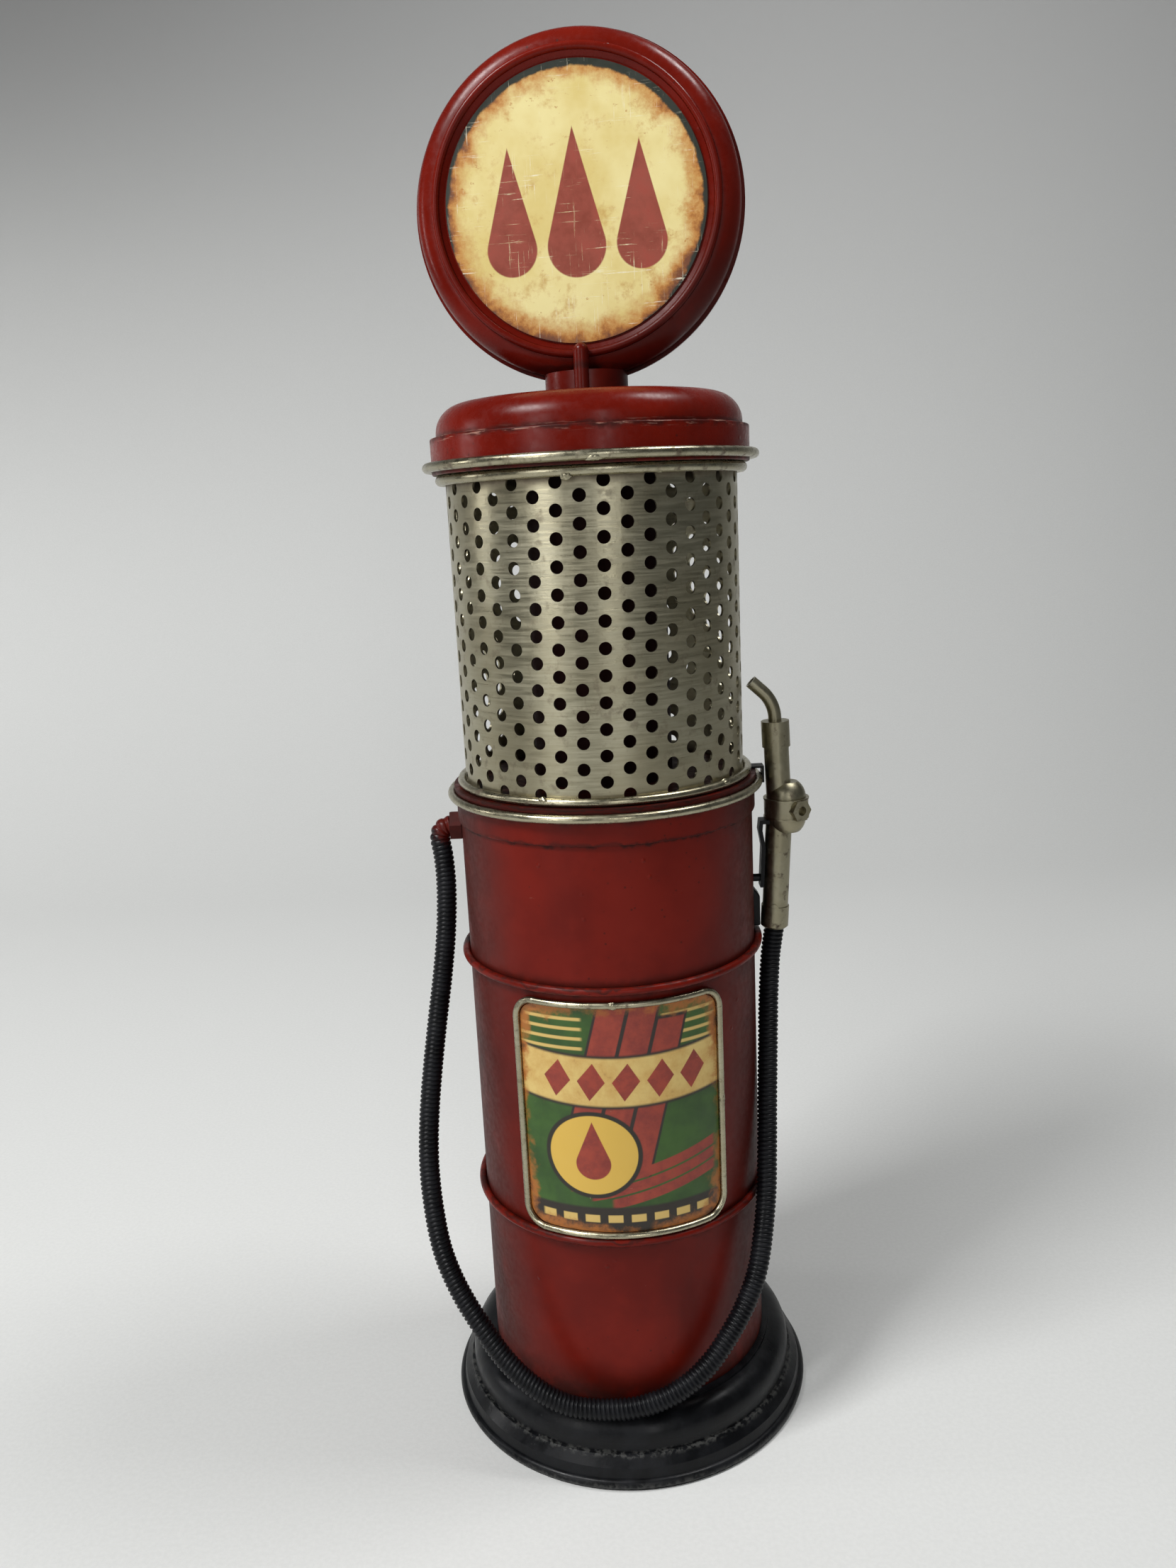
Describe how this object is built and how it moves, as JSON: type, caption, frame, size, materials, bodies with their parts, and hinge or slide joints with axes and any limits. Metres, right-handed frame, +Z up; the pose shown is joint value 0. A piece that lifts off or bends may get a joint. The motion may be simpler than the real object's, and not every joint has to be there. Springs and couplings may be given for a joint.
{
  "type": "gas pump",
  "caption": "Tin display model of a vintage visible gas pump with a round sign, a perforated cylinder, a coil-spring hose and a nozzle that lifts sideways off its peg.",
  "frame": {"origin": "centre of the foot, on the surface that it stands on, on the drum's axis", "axes": "+Z up along the drum's axis; the plaque and the sign face -Y; the nozzle is on +X and the hose outlet on -X"},
  "size_m": [0.1289, 0.12, 0.4252],
  "materials": {
    "red_paint": "satin",
    "dark_red_paint": "satin",
    "black_paint": "satin",
    "black_iron": "satin",
    "tinned_sheet": "satin",
    "nozzle_metal": "satin",
    "hose_spring": "satin",
    "plaque_print": "satin",
    "sign_print": "satin"
  },
  "bodies": {
    "pump": {"base_flange": "black_paint", "base_bowl": "black_paint", "drum_shell": "red_paint", "drum_top_plate": "red_paint", "drum_collar": "red_paint", "drum_top_ring": "tinned_sheet", "upper_hoop": "red_paint", "lower_hoop": "red_paint", "mesh_foot_ring": "tinned_sheet", "perforated_cylinder": "tinned_sheet", "inner_tube": "dark_red_paint", "mesh_head_ring": "tinned_sheet", "cap_floor": "tinned_sheet", "cap_ring": "tinned_sheet", "cap_band": "red_paint", "cap_lid": "red_paint", "sign_neck": "red_paint", "sign_front_dish": "red_paint", "sign_rear_dish": "red_paint", "sign_bezel": "red_paint", "sign_face": "sign_print", "plaque": "plaque_print", "plaque_frame": "tinned_sheet", "hose_stud": "tinned_sheet", "hose_nut": "red_paint", "hose": "hose_spring", "hanger_strip": "black_iron", "hanger_peg": "black_iron", "lower_rest": "black_iron"},
    "nozzle": {"nozzle_low_collar": "nozzle_metal", "nozzle_grip": "nozzle_metal", "valve_low_shell": "nozzle_metal", "valve_band": "nozzle_metal", "valve_top_shell": "nozzle_metal", "valve_nut": "nozzle_metal", "nozzle_barrel": "nozzle_metal", "spout_collar": "nozzle_metal", "spout": "nozzle_metal", "guard_strap": "black_iron"}
  },
  "joints": [
    {"name": "nozzle_off_peg", "type": "slide", "parent": "pump", "child": "nozzle", "axis": [1, 0, 0], "range_m": [0, 0.03]}
  ]
}
